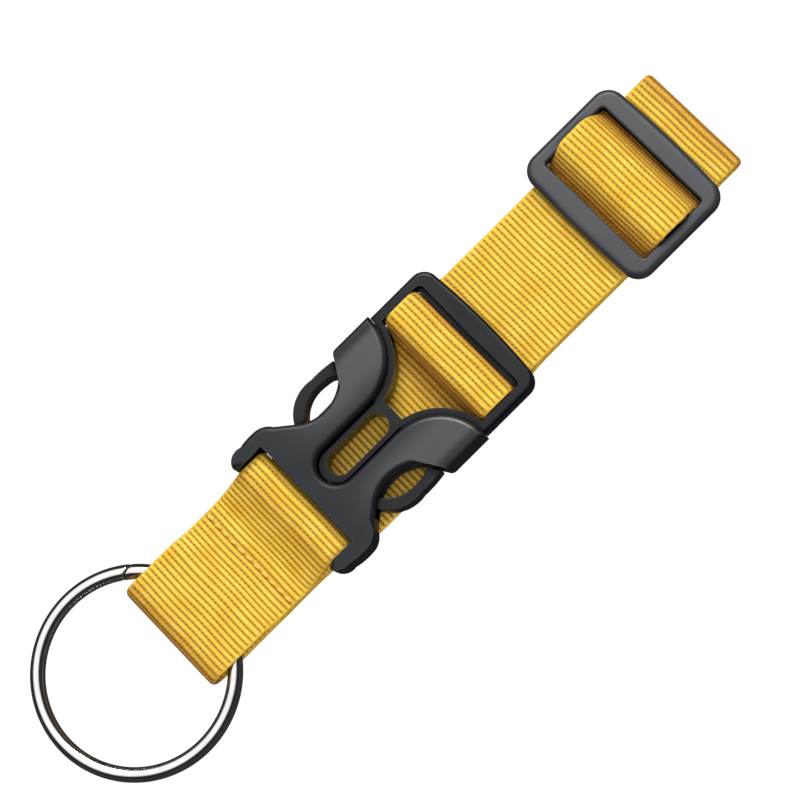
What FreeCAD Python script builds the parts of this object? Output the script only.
import FreeCAD, Part
import Sketcher
import math
import os

# Key strap: a key ring in a fold of webbing, a side-release buckle, a tri-glide and a top fold.
# x runs across the webbing, y along the strap from the ring fold to the top fold, and z out
# of the front face.  Sizes are in mm.  Stations along y count from the ring fold; every
# piece is then moved by -y_shift.

Vector = FreeCAD.Vector
doc = FreeCAD.newDocument("KeyStrap")

# ---------------------------------------------------------------- driving dimensions
# "half" is a half width across x; start and end are stations along y; bottom and top are
# heights in z.  Text values are sheet formulas.
DIMENSIONS = {
    # webbing: thickness, air between plies and between ends, centre heights of the plies
    "web_width": 25.0, "web_thick": 1.3, "ply_gap": 0.05, "end_gap": 0.05,
    "back_z": "=web_thick / 2",
    "second_z": "=back_z + web_thick + ply_gap",
    "front_z": "=second_z + web_thick + ply_gap",
    "y_shift": 56.2,
    # webbing fold round the ring, and the neck above it
    "loop_end": 12.5, "neck_end": 18.0, "loop_radius": 2.225,
    # key ring
    "ring_radius": 19.4, "wire_radius": 1.5, "ring_y": -8.9,
    "ring_z": "=back_z + loop_radius", "seam_gap": 0.12,
    # female buckle: outline
    "female_bottom": 1.5, "female_top": 9.9, "female_wall": 1.45,
    "lobe_tip": 31.9, "lobe_inner_x": 12.7, "lobe_outer_x": 15.75, "lobe_wide_y": 39.5,
    "slot_top_y": 38.7,
    "waist_low_x": 11.2, "waist_low_y": 46.2, "waist_high_x": 12.2, "waist_high_y": 58.8,
    "waist_radius": 8.75,
    "wing_x": 16.1, "wing_low_y": 61.9, "wing_high_y": 70.55, "wing_radius": 11.8,
    "notch_half": 3.85, "notch_end": 59.15, "notch_start": 42.8,
    # female buckle: strap bar and cavity
    "female_bar_start": 33.5, "female_bar_end": 37.1,
    "female_bar_bottom": 4.1, "female_bar_top": 6.7,
    "cavity_start": 44.4, "rib_half": 5.0, "rib_end": 58.5,
    "throat_half": 13.5, "mouth_half": 14.6, "ramp_start": 62.0, "ramp_end": 64.5,
    # male buckle: tongue and flanges
    "male_bottom": 3.2, "male_top": 8.2,
    "tongue_half": 3.35, "tongue_tip": 43.1, "tongue_root": 60.2,
    "tongue_slot_width": 5.0, "tongue_slot_start": 44.8, "tongue_slot_end": 59.5,
    "flange_inner_x": 5.96, "flange_radius": 10.2, "flange_x": 14.4, "flange_y": 69.2,
    # male buckle: frame, window and bars
    "rail_start": 70.62, "rail_x": 15.85,
    "window_half": 13.75, "window_start": 61.4, "window_tip_half": 2.6,
    "window_shoulder": 71.75, "window_radius": 13.2, "window_end": 82.0,
    "male_end": 85.8, "male_side_end": 85.2, "male_corner": 3.2, "male_bow": 150.0,
    "male_bar_start": 73.2, "male_bar_end": 79.4, "male_bar_bottom": 4.9, "male_bar_top": 7.5,
    "end_bar_bottom": 4.1, "ledge_start": 80.85, "ledge_bottom": 4.6, "ledge_top": 7.2,
    # tri-glide
    "glide_half": 16.15, "glide_start": 110.3, "glide_end": 135.3,
    "glide_corner": 3.8, "glide_bow": 190.0, "glide_bow_depth": 0.4,
    "glide_window_half": 13.35, "glide_window_start": 115.05, "glide_window_end": 130.7,
    "glide_window_corner": 0.7, "glide_bottom": 4.1, "glide_top": 7.4,
    "glide_bar_start": 120.9, "glide_bar_end": 124.9,
    "glide_bar_bottom": 4.2, "glide_bar_top": 6.8,
    # stations where stretches of webbing meet or end
    "back_lower_end": 45.0, "back_slack_end": 70.0, "back_upper_end": 121.0,
    "male_wrap_end": 88.0, "second_start": 84.0, "second_end": 112.0, "middle_end": 109.0,
    "slide_end": 136.0, "strap_top": 142.2, "tuck_end": 18.6,
    # stitch row
    "stitch_y": 22.0, "stitch_length": 1.5, "stitch_diameter": 0.34, "stitch_pitch": 2.28,
    "stitch_count": 10.0, "stitch_gap": 0.02,
}
CUT_MARGIN = 0.5    # how far a cut runs past the face it leaves by
TOUCH = 1e-6        # heights closer than this count as equal

sheet = doc.addObject("Spreadsheet::Sheet", "Dims")
for row, (alias, content) in enumerate(DIMENSIONS.items(), start=1):
    sheet.set("A%d" % row, alias)
    sheet.set("B%d" % row, str(content))
    sheet.setAlias("B%d" % row, alias)
doc.recompute()


class Driven:
    """A number together with the sheet expression that drives it."""

    def __init__(self, value, expression):
        self.value = float(value)
        self.expression = expression

    def __add__(self, other):
        other = driven(other)
        return Driven(self.value + other.value,
                      "(%s + %s)" % (self.expression, other.expression))

    __radd__ = __add__

    def __sub__(self, other):
        other = driven(other)
        return Driven(self.value - other.value,
                      "(%s - %s)" % (self.expression, other.expression))

    def __rsub__(self, other):
        return driven(other) - self

    def __mul__(self, other):
        other = driven(other)
        return Driven(self.value * other.value,
                      "(%s * %s)" % (self.expression, other.expression))

    __rmul__ = __mul__

    def __truediv__(self, other):
        other = driven(other)
        return Driven(self.value / other.value,
                      "(%s / %s)" % (self.expression, other.expression))

    def __neg__(self):
        return Driven(-self.value, "(-1 * %s)" % self.expression)


def driven(number):
    return number if isinstance(number, Driven) else Driven(number, repr(float(number)))


class Sizes:
    """size.alias is the plain number in the sheet."""

    def __getattr__(self, alias):
        return float(sheet.get(alias))


class Dimensions:
    """dim.alias is the number in the sheet, still tied to its cell."""

    def __getattr__(self, alias):
        return Driven(sheet.get(alias), "Dims." + alias)


size = Sizes()
dim = Dimensions()


# ---------------------------------------------------------------- sketches
def new_body(name, y_expression="-1 * Dims.y_shift"):
    body = doc.addObject("PartDesign::Body", name)
    body.Label = name
    body.setExpression("Placement.Base.y", y_expression)
    return body


def new_sketch(body, name, role):
    """Empty sketch on the body's origin plane with the given role."""
    sketch = body.newObject("Sketcher::SketchObject", name)
    planes = [item for item in body.Origin.OriginFeatures if item.Role == role]
    sketch.AttachmentSupport = [(planes[0], "")]
    sketch.MapMode = "FlatFace"
    return sketch


def drive(sketch, amount, *constraint):
    """Add a dimensional constraint that follows the sheet."""
    index = sketch.addConstraint(Sketcher.Constraint(*constraint, amount.value))
    sketch.setExpression("Constraints[%d]" % index, amount.expression)


def arc_centre(start, end, radius):
    """Centre of the minor arc; a positive radius turns left, a negative one right."""
    chord = math.dist(start, end)
    offset = math.sqrt(max(radius * radius - chord * chord / 4, 0.0))
    offset = math.copysign(offset, radius)
    along_x, along_y = (end[0] - start[0]) / chord, (end[1] - start[1]) / chord
    return ((start[0] + end[0]) / 2 - along_y * offset,
            (start[1] + end[1]) / 2 + along_x * offset)


def side_geometry(start, end, radius):
    """Line or arc from start to end, with the numbers of its first and last point."""
    if radius is None:
        return Part.LineSegment(Vector(*start, 0), Vector(*end, 0)), (1, 2)
    centre = arc_centre(start, end, radius)
    first = math.atan2(start[1] - centre[1], start[0] - centre[0])
    last = math.atan2(end[1] - centre[1], end[0] - centre[0])
    order = (1, 2)
    if radius < 0:
        # sketch arcs always run counter-clockwise
        first, last = last, first
        order = (2, 1)
    if last < first:
        last += 2 * math.pi
    circle = Part.Circle(Vector(*centre, 0), Vector(0, 0, 1), abs(radius))
    return Part.ArcOfCircle(circle, first, last), order


def outline(body, name, role, points, lift=None, blocked=False):
    """Closed sketch.  A point is (x, y) or (x, y, radius of the side that leaves it).
    Points and radii follow the sheet unless the sketch is blocked."""
    sketch = new_sketch(body, name, role)
    if lift is not None:
        sketch.AttachmentOffset = FreeCAD.Placement(
            Vector(0, 0, lift.value), FreeCAD.Rotation())
        sketch.setExpression("AttachmentOffset.Base.z", lift.expression)
    points = [tuple(driven(number) for number in point) for point in points]
    count = len(points)
    orders = []
    for i, point in enumerate(points):
        following = points[(i + 1) % count]
        geometry, order = side_geometry(
            (point[0].value, point[1].value), (following[0].value, following[1].value),
            point[2].value if len(point) == 3 else None)
        sketch.addGeometry(geometry, False)
        orders.append(order)
    for i in range(count):
        j = (i + 1) % count
        sketch.addConstraint(
            Sketcher.Constraint("Coincident", i, orders[i][1], j, orders[j][0]))
    if blocked:
        for i in range(count):
            sketch.addConstraint(Sketcher.Constraint("Block", i))
        return sketch
    for i, point in enumerate(points):
        drive(sketch, point[0], "DistanceX", -1, 1, i, orders[i][0])
        drive(sketch, point[1], "DistanceY", -1, 1, i, orders[i][0])
    for i, point in enumerate(points):
        if len(point) == 3:
            radius = point[2]
            drive(sketch, radius if radius.value > 0 else -radius, "Radius", i)
    return sketch


def mirrored(half):
    """Full outline from its +x half, which starts and ends on the centre line."""
    half = [tuple(driven(number) for number in point) for point in half]
    full = half[:-1] + [half[-1][:2] + half[-2][2:]]
    for i in range(len(half) - 2, 0, -1):
        # a mirrored point leaves by the side that led to the original
        full.append((-half[i][0], half[i][1]) + half[i - 1][2:])
    return full


# ---------------------------------------------------------------- solid features
def extrude(body, kind, name, sketch, length, midplane, reverse):
    feature = body.newObject("PartDesign::" + kind, name)
    feature.Profile = sketch
    length = driven(length)
    feature.Length = length.value
    feature.setExpression("Length", length.expression)
    feature.Reversed = reverse
    if midplane:
        feature.Midplane = True
    doc.recompute()


def pad(body, name, sketch, length, midplane=False):
    extrude(body, "Pad", name, sketch, length, midplane, reverse=False)


def pocket(body, name, sketch, length, midplane=False):
    """Cut to both sides of the sketch, or upward from it."""
    before = body.Shape.Volume
    extrude(body, "Pocket", name, sketch, length, midplane, reverse=not midplane)
    if body.Shape.Volume > before - 1e-6:
        raise RuntimeError(name + " removed nothing")


def pad_plan(body, sketch_name, name, points, bottom, top):
    sketch = outline(body, sketch_name, "XY_Plane", points, lift=bottom)
    pad(body, name, sketch, top - bottom)


def cut_plan(body, sketch_name, name, points, bottom, top):
    sketch = outline(body, sketch_name, "XY_Plane", points, lift=bottom)
    pocket(body, name, sketch, top - bottom)


def cross_bar(body, sketch_name, name, bar, length):
    """Bar across x with rounded edges; bar is the prefix of its four dimensions."""
    start, end, bottom, top = (
        getattr(dim, bar + limit) for limit in ("_start", "_end", "_bottom", "_top"))
    radius = (top - bottom) / 2
    middle = (top + bottom) / 2
    sketch = outline(body, sketch_name, "YZ_Plane", [
        (start + radius, bottom), (end - radius, bottom, radius), (end, middle, radius),
        (end - radius, top), (start + radius, top, radius), (start, middle, radius)])
    pad(body, name, sketch, length, midplane=True)


def level_edges(body, wanted):
    """Names of the tip's level edges whose bounding box passes the test."""
    names = []
    for i, edge in enumerate(body.Tip.Shape.Edges, start=1):
        box = edge.BoundBox
        if abs(box.ZMax - box.ZMin) < TOUCH and wanted(box):
            names.append("Edge%d" % i)
    return names


def on_face(box, bottom, top):
    return abs(box.ZMin - bottom) < TOUCH or abs(box.ZMin - top) < TOUCH


def reach(box):
    """Greatest distance of a box from the centre line."""
    return max(abs(box.XMin), abs(box.XMax))


def is_sound(base, kind, amount, names):
    picked = [base.Edges[int(name[4:]) - 1] for name in names]
    # guards against the kernel raising an error where the corners are too tight
    try:
        result = getattr(base, "make" + kind)(amount, picked)
        return result.isValid() and len(result.Solids) == 1 and result.Volume < base.Volume
    except Exception:
        return False


def choose_rounding(base, names, radius):
    """Largest workable fillet, else chamfer, else a fillet of the edges that allow one."""
    for kind, ratio in (("Fillet", 1.0), ("Chamfer", 0.8)):
        for share in (1.0, 0.85, 0.7, 0.55, 0.4):
            amount = radius * share * ratio
            if is_sound(base, kind, amount, names):
                return kind, amount, names
    for share in (1.0, 0.6):
        kept = []
        for name in names:
            if is_sound(base, "Fillet", radius * share, kept + [name]):
                kept.append(name)
        if kept:
            return "Fillet", radius * share, kept
    return None


def round_edges(body, name, names, radius):
    """Round the named edges; they stay sharp if no size works."""
    choice = choose_rounding(body.Tip.Shape, names, radius)
    if choice is None:
        return
    kind, amount, names = choice
    feature = body.newObject("PartDesign::" + kind, name)
    feature.Base = (feature.BaseFeature, names)
    if kind == "Fillet":
        feature.Radius = amount
    else:
        feature.Size = amount
    doc.recompute()


# ---------------------------------------------------------------- key ring
def key_ring():
    body = new_body("key_ring", "Dims.ring_y - Dims.y_shift")
    body.setExpression("Placement.Base.z", "Dims.ring_z")
    sketch = new_sketch(body, "wire_section", "XZ_Plane")
    sketch.addGeometry(Part.Circle(
        Vector(size.ring_radius, 0, 0), Vector(0, 0, 1), size.wire_radius), False)
    drive(sketch, dim.ring_radius, "DistanceX", -1, 1, 0, 3)
    sketch.addConstraint(Sketcher.Constraint("PointOnObject", 0, 3, -1))
    drive(sketch, dim.wire_radius, "Radius", 0)
    wire = body.newObject("PartDesign::Revolution", "wire_ring")
    wire.Profile = sketch
    wire.ReferenceAxis = (sketch, ["V_Axis"])
    wire.Angle = 360.0
    doc.recompute()
    cut_seam(body)
    return body


def cut_seam(body):
    """Oblique butt seam where the wire's ends meet."""
    outer_radius, outer_angle = 22.0, math.radians(137.6)
    inner_radius, inner_angle = 17.0, math.radians(146.4)
    depth = 6.0
    outer_x = outer_radius * math.cos(outer_angle)
    outer_y = outer_radius * math.sin(outer_angle)
    inner_x = inner_radius * math.cos(inner_angle)
    inner_y = inner_radius * math.sin(inner_angle)
    length = math.hypot(inner_x - outer_x, inner_y - outer_y)
    # half the gap, square to the seam
    shift_x = dim.seam_gap / 2 * (-(inner_y - outer_y) / length)
    shift_y = dim.seam_gap / 2 * ((inner_x - outer_x) / length)
    sketch = outline(body, "seam", "XY_Plane", [
        (outer_x + shift_x, outer_y + shift_y), (outer_x - shift_x, outer_y - shift_y),
        (inner_x - shift_x, inner_y - shift_y), (inner_x + shift_x, inner_y + shift_y)])
    pocket(body, "seam_cut", sketch, depth, midplane=True)


# ---------------------------------------------------------------- female buckle half
def female_buckle():
    body = new_body("female_buckle_body")
    # +x half of the plan: x, y, radius of the side that follows
    pad_plan(body, "plan", "block", mirrored([
        (0, dim.slot_top_y),
        (dim.lobe_inner_x, dim.slot_top_y),
        (dim.lobe_inner_x, dim.lobe_tip + 0.9),
        (dim.lobe_inner_x + 0.7, dim.lobe_tip, 3.0),
        (dim.lobe_outer_x - 0.35, dim.lobe_wide_y - 4.2, 14.0),
        (dim.lobe_outer_x, dim.lobe_wide_y, 4.2),
        (dim.lobe_outer_x - 2.0, dim.lobe_wide_y + 3.55),
        (dim.waist_low_x, dim.waist_low_y, -dim.waist_radius),
        (dim.waist_high_x, dim.waist_high_y),
        (dim.wing_x - 1.0, dim.wing_low_y - 1.35, 1.7),
        (dim.wing_x, dim.wing_low_y),
        (dim.wing_x, dim.wing_high_y, dim.wing_radius),
        (dim.notch_half, dim.notch_end),
        (dim.notch_half, dim.notch_start + dim.notch_half, -dim.notch_half),
        (0, dim.notch_start),
    ]), dim.female_bottom, dim.female_top)

    def is_rim(box):
        in_slot = box.YMax < size.slot_top_y + 0.01 and reach(box) < size.lobe_inner_x + 0.1
        in_notch = box.YMax < 60 and reach(box) < 4.2
        return (on_face(box, size.female_bottom, size.female_top)
                and not in_slot and not in_notch)

    round_edges(body, "edge_round", level_edges(body, is_rim), 1.1)
    # cavity open at the wing end, with a centre rib left standing
    cut_plan(body, "cavity_plan", "cavity", mirrored([
        (0, dim.rib_end), (dim.rib_half, dim.rib_end), (dim.rib_half, 47.5),
        (7.0, dim.cavity_start), (12.4, dim.cavity_start), (dim.throat_half, 47.0),
        (dim.throat_half, dim.ramp_start), (dim.mouth_half, dim.ramp_end),
        (dim.mouth_half, 74.0), (0, 74.0),
    ]), dim.female_bottom + dim.female_wall, dim.female_top - dim.female_wall)
    cross_bar(body, "bar_section", "strap_bar", "female_bar", 2 * dim.lobe_inner_x + 1.0)
    return body


# ---------------------------------------------------------------- male buckle half
def male_buckle():
    body = new_body("male_buckle_frame")
    # +x half of the plan: x, y, radius of the side that follows
    pad_plan(body, "plan_m", "block_m", mirrored([
        (0, dim.tongue_tip, dim.tongue_half),
        (dim.tongue_half, dim.tongue_tip + dim.tongue_half),
        (dim.tongue_half, dim.tongue_root),
        (dim.flange_inner_x, dim.tongue_root, -dim.flange_radius),
        (dim.flange_x, dim.flange_y),
        (dim.flange_x, dim.rail_start),
        (dim.rail_x, dim.rail_start),
        (dim.rail_x, dim.male_side_end - dim.male_corner, dim.male_corner),
        (dim.rail_x - dim.male_corner, dim.male_side_end, dim.male_bow),
        (0, dim.male_end),
    ]), dim.male_bottom, dim.male_top)

    def is_frame_edge(box):
        # past the rails' start, and not square across the strap
        return (box.YMin > 70.8 and reach(box) > 0.5
                and not abs(box.YMax - box.YMin) < 1e-6)

    round_edges(body, "edge_round_m", level_edges(body, is_frame_edge), 0.9)
    below = dim.male_bottom - CUT_MARGIN
    above = dim.male_top + CUT_MARGIN
    window_corner = 1.2
    cut_plan(body, "window_plan", "window", mirrored([
        (0, dim.window_start),
        (dim.window_tip_half, dim.window_start, -dim.window_radius),
        (dim.window_half, dim.window_shoulder),
        (dim.window_half, dim.window_end - window_corner, window_corner),
        (dim.window_half - window_corner, dim.window_end, 420.0),
        (0, dim.window_end - 0.18),
    ]), below, above)
    slot_radius = dim.tongue_slot_width / 2
    cut_plan(body, "tongue_slot_plan", "tongue_slot", mirrored([
        (0, dim.tongue_slot_start, slot_radius),
        (slot_radius, dim.tongue_slot_start + slot_radius),
        (slot_radius, dim.tongue_slot_end - slot_radius, slot_radius),
        (0, dim.tongue_slot_end),
    ]), below, above)
    # clears the underside of the end bar
    way_half = dim.window_half - 0.6
    way_start, way_end = dim.window_end - 1.0, dim.male_end + 1.0
    cut_plan(body, "strap_way_plan", "strap_way", [
        (-way_half, way_start), (way_half, way_start),
        (way_half, way_end), (-way_half, way_end),
    ], below, dim.end_bar_bottom)
    cross_bar(body, "middle_bar_section", "middle_bar", "male_bar",
              2 * dim.window_half + 1.0)
    # ledge along the window side of the end bar, sunk into the frame round it
    ledge_half = dim.window_half + 0.25
    ledge_end = dim.window_end + 0.4
    pad_plan(body, "end_bar_ledge_plan", "end_bar_ledge", [
        (-ledge_half, dim.ledge_start), (ledge_half, dim.ledge_start),
        (ledge_half, ledge_end), (-ledge_half, ledge_end),
    ], dim.ledge_bottom, dim.ledge_top)
    return body


# Plan of the +x arm: x, y, radius of the side that follows
ARM_PLAN = [
    (11.0, 67.8), (11.0, 60.6), (12.1, 58.7), (13.05, 57.2, -16.0),
    (13.4, 54.4, -7.0), (10.9, 48.7), (10.4, 47.7, 1.1), (11.3, 46.0, 7.9),
    (15.35, 54.4, 26.0), (14.95, 60.05), (13.42, 59.15), (13.2, 61.2), (12.9, 68.55),
]


def male_arm(side, sign):
    """Spring arm of the male half on the side where x has the given sign."""
    body = new_body("male_arm_" + side)
    # mirroring in x also flips the turn of every arc
    points = [(sign * x, y) + tuple(sign * radius for radius in bend)
              for x, y, *bend in ARM_PLAN]
    pad_plan(body, "arm_plan_" + side, "arm_" + side, points, dim.male_bottom, dim.male_top)
    return body


# ---------------------------------------------------------------- tri-glide
def triglide():
    body = new_body("triglide_frame")
    corner = dim.glide_corner
    side_start = dim.glide_start + dim.glide_bow_depth
    side_end = dim.glide_end - dim.glide_bow_depth
    pad_plan(body, "plan_g", "plate_g", mirrored([
        (0, dim.glide_start, dim.glide_bow),
        (dim.glide_half - corner, side_start, corner),
        (dim.glide_half, side_start + corner),
        (dim.glide_half, side_end - corner, corner),
        (dim.glide_half - corner, side_end, dim.glide_bow),
        (0, dim.glide_end),
    ]), dim.glide_bottom, dim.glide_top)
    round_edges(body, "round_g", level_edges(body, lambda box: True), 1.3)
    half = dim.glide_window_half
    start, end = dim.glide_window_start, dim.glide_window_end
    corner = dim.glide_window_corner
    cut_plan(body, "window_g", "opening_g", mirrored([
        (0, start), (half - corner, start, corner), (half, start + corner),
        (half, end - corner, corner), (half - corner, end), (0, end),
    ]), dim.glide_bottom - CUT_MARGIN, dim.glide_top + CUT_MARGIN)

    def is_window_edge(box):
        return (on_face(box, size.glide_bottom, size.glide_top)
                and box.YMin > start.value - 0.01 and box.YMax < end.value + 0.01
                and reach(box) < half.value + 0.01)

    round_edges(body, "inner_round_g", level_edges(body, is_window_edge), 0.5)
    cross_bar(body, "centre_bar_section", "centre_bar", "glide_bar", 2 * half + 1.4)
    return body


# ---------------------------------------------------------------- webbing
def ribbon(name, start, heading, moves):
    """Strip of webbing whose centre line starts at (y, z), heading in degrees from +y
    towards +z.  A move is (length,) or (radius, degrees), positive degrees turning left."""
    half_thick = size.web_thick / 2
    y, z = start
    angle = math.radians(heading)
    left, right, bends = [], [], []

    def add_points():
        across_y, across_z = -math.sin(angle) * half_thick, math.cos(angle) * half_thick
        left.append((y + across_y, z + across_z))
        right.append((y - across_y, z - across_z))

    add_points()
    for move in moves:
        if len(move) == 1:
            y += math.cos(angle) * move[0]
            z += math.sin(angle) * move[0]
            bends.append(())
            add_points()
            continue
        radius, degrees = move
        turn = math.copysign(radius, degrees)
        centre_y, centre_z = y - math.sin(angle) * turn, z + math.cos(angle) * turn
        # outlines hold minor arcs only, so a wide turn is made in two
        steps = 2 if abs(degrees) > 120 else 1
        for _ in range(steps):
            angle += math.radians(degrees / steps)
            y, z = centre_y + math.sin(angle) * turn, centre_z - math.cos(angle) * turn
            bends.append((turn,))
            add_points()
    out = [point + tuple(turn + half_thick for turn in bend)
           for point, bend in zip(right, bends + [()])]
    back = [point + tuple(half_thick - turn for turn in bend)
            for point, bend in zip(left, [()] + bends)]
    body = new_body(name)
    sketch = outline(body, name + "_profile", "YZ_Plane", out + back[::-1], blocked=True)
    pad(body, name + "_width", sketch, dim.web_width, midplane=True)
    return body


def step_moves(height, radius, degrees):
    """Moves of an S-shaped step to a parallel line, and the length it takes."""
    angle = math.radians(abs(degrees))
    slope = (height - 2 * radius * (1 - math.cos(angle))) / math.sin(angle)
    run = 2 * radius * math.sin(angle) + slope * math.cos(angle)
    return [(radius, degrees), (slope,), (radius, -degrees)], run


def flat_plies():
    """Plies that lie flat."""
    gap = size.end_gap
    back, second, front = size.back_z, size.second_z, size.front_z
    # name, centre height, start, end
    plies = [
        ("strap_neck_back", back, size.loop_end + gap, size.neck_end - gap),
        ("strap_back_lower", back, size.neck_end, size.back_lower_end),
        ("strap_back_slack", back, size.back_lower_end + gap, size.back_slack_end - gap),
        ("strap_back_upper", back, size.back_slack_end, size.back_upper_end - gap),
        ("strap_mid_front", front, size.male_wrap_end, size.middle_end - gap),
        ("strap_mid_second", second, size.second_start, size.second_end - gap),
    ]
    return [ribbon(name, (start, z), 0, [(end - start,)]) for name, z, start, end in plies]


def ring_end():
    """Fold round the key ring, and the front ply stepping down from it."""
    radius = size.loop_radius
    straight = size.loop_end - (radius + size.web_thick / 2)
    top_z = size.back_z + 2 * radius
    loop = ribbon("strap_ring_loop", (size.loop_end, top_z), 180, [
        (straight,), (radius, 180), (straight,)])
    step, run = step_moves(top_z - size.front_z, radius=3.2, degrees=-24.0)
    lead = (size.neck_end - size.loop_end - 2 * size.end_gap - run) / 2
    neck = ribbon("strap_neck_front", (size.loop_end + size.end_gap, top_z), 0,
                  [(lead,)] + step + [(lead,)])
    return [loop, neck]


def lower_anchor():
    """Front ply over the female bar and back under it as a tucked end."""
    clearance = size.ply_gap + size.web_thick / 2
    over_z = size.female_bar_top + clearance
    under_z = size.female_bar_bottom - clearance
    turn_y = size.female_bar_end - (size.female_bar_top - size.female_bar_bottom) / 2
    rise_end, fall_start = 33.6, 34.4
    rise, rise_run = step_moves(over_z - size.front_z, radius=3.5, degrees=30.0)
    fall, fall_run = step_moves(under_z - size.second_z, radius=2.2, degrees=22.0)
    return ribbon(
        "strap_lower_anchor", (size.neck_end, size.front_z), 0,
        [(rise_end - rise_run - size.neck_end,)] + rise
        + [(turn_y - rise_end,), ((over_z - under_z) / 2, -180), (turn_y - fall_start,)]
        + fall + [(fall_start - fall_run - size.tuck_end,)])


def male_wrap():
    """Webbing round the middle bar of the male half."""
    bar_radius = (size.male_bar_top - size.male_bar_bottom) / 2
    bar_z = (size.male_bar_top + size.male_bar_bottom) / 2
    wrap = bar_radius + size.ply_gap + size.web_thick / 2
    far_y, near_y = size.male_bar_end - bar_radius, size.male_bar_start + bar_radius
    front_bend, second_bend = 1.0, 0.95
    start = size.male_wrap_end - size.end_gap
    return ribbon("strap_male_wrap", (start, size.front_z), 180, [
        (start - (far_y + wrap + front_bend),),
        (front_bend, -90),
        (bar_z - (size.front_z + front_bend),),
        (wrap, 90), (far_y - near_y,), (wrap, 90),
        (bar_z - (size.second_z + second_bend),),
        (second_bend, 90),
        (size.second_start - size.end_gap - (near_y - wrap + second_bend),)])


def triglide_webbing():
    """Strap end round the tri-glide's centre bar, and the sliding ply over it."""
    front, second = size.front_z, size.second_z
    over_z = size.glide_bar_top + size.ply_gap + size.web_thick / 2
    far_y, near_y = 124.4, 121.4
    far_radius, near_radius = (over_z - second) / 2, (over_z - front) / 2
    anchor = ribbon("strap_triglide_anchor", (size.second_end, second), 0, [
        (far_y - size.second_end,), (far_radius, 180), (far_y - near_y,),
        (near_radius, 180), (2.8,)])

    # the sliding ply lies one ply further out, on the same centres
    far_outer = far_radius + size.web_thick + size.ply_gap
    near_outer = near_radius + size.web_thick + size.ply_gap
    degrees, bend = 55.0, 1.4
    sine, cosine = math.sin(math.radians(degrees)), math.cos(math.radians(degrees))
    bend_z = front + bend * (1 - cosine)
    climb = (front + near_radius + near_outer * cosine - bend_z) / sine
    descent = (second + far_radius + far_outer * cosine - bend_z) / sine
    climb_start = near_y - near_outer * sine - climb * cosine - bend * sine
    descent_end = far_y + far_outer * sine + descent * cosine + bend * sine
    sliding = ribbon("strap_triglide_wrap", (size.middle_end, front), 0, [
        (climb_start - size.middle_end,),
        (bend, degrees), (climb,), (near_outer, -degrees),
        (far_y - near_y,),
        (far_outer, -degrees), (descent,), (bend, degrees),
        (size.slide_end - size.end_gap - descent_end,)])
    return [anchor, sliding]


def top_loop():
    """Fold at the top of the strap, from the front ply to the back ply."""
    radius = (size.front_z - size.back_z) / 2
    turn_y = size.strap_top - size.web_thick / 2 - radius
    return ribbon("strap_top_loop", (size.slide_end, size.front_z), 0, [
        (turn_y - size.slide_end,), (radius, -180), (turn_y - size.back_upper_end,)])


# ---------------------------------------------------------------- stitch row
def stitch_row():
    """Row of stitches across the front ply, each a cylinder along x."""
    stitches = []
    for i in range(int(size.stitch_count)):
        stitch = doc.addObject("Part::Cylinder", "stitch_%02d" % (i + 1))
        stitch.setExpression("Radius", "Dims.stitch_diameter / 2")
        stitch.setExpression("Height", "Dims.stitch_length")
        stitch.Placement = FreeCAD.Placement(
            Vector(0, 0, 0), FreeCAD.Rotation(Vector(0, 1, 0), 90))
        stitch.setExpression(
            "Placement.Base.x",
            "(%d - (Dims.stitch_count - 1) / 2) * Dims.stitch_pitch"
            " - Dims.stitch_length / 2" % i)
        stitch.setExpression("Placement.Base.y", "Dims.stitch_y - Dims.y_shift")
        stitch.setExpression(
            "Placement.Base.z",
            "Dims.front_z + Dims.web_thick / 2 + Dims.stitch_gap"
            " + Dims.stitch_diameter / 2")
        stitches.append(stitch)
    row = doc.addObject("Part::Compound", "anchor_stitches")
    row.Label = "anchor_stitches"
    row.Links = stitches
    return row


# ---------------------------------------------------------------- build, check and export
def check(pieces):
    bad = [item.Name + " " + str(item.State) for item in doc.Objects
           if "Invalid" in item.State or "Error" in item.State]
    for piece in pieces:
        shape = piece.Shape
        if shape.isNull() or not shape.isValid() or shape.Volume <= 0:
            bad.append(piece.Label + " shape")
    if bad:
        raise RuntimeError("bad objects: " + "; ".join(bad))


pieces = [key_ring(), female_buckle(), male_buckle(),
          male_arm("left", -1.0), male_arm("right", 1.0), triglide()]
pieces += ring_end() + flat_plies()
pieces += [lower_anchor(), male_wrap()] + triglide_webbing()
pieces += [top_loop(), stitch_row()]
doc.recompute()
check(pieces)
os.makedirs("parts", exist_ok=True)
for piece in pieces:
    piece.Shape.exportStep("parts/" + piece.Label + ".step")
